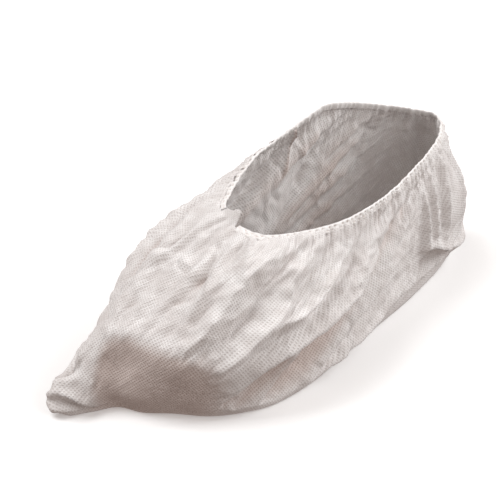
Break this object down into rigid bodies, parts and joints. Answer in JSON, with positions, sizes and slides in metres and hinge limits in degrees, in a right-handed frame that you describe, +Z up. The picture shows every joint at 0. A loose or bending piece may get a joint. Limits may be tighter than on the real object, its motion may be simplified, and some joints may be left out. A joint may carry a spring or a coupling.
{
  "type": "shoe cover",
  "caption": "Disposable nonwoven shoe cover in its worn form: a hollow folded cloth body with a flat sole, open on top, and a gathered elastic hem round the opening.",
  "frame": {"origin": "on the floor plane under the flat sole, midway along the sole and on its centre line", "axes": "+Z up, -Y towards the toe, +Y towards the heel, +X the wearer's left (the outer side of a left foot)"},
  "size_m": [0.1207, 0.3397, 0.1181],
  "materials": {
    "cloth": "matte white spunbond nonwoven with small embossed dots",
    "hem": "matte white nonwoven, gathered over a thin elastic"
  },
  "bodies": {
    "root": {"cover_body": "cloth", "elastic_hem": "hem"}
  },
  "joints": []
}
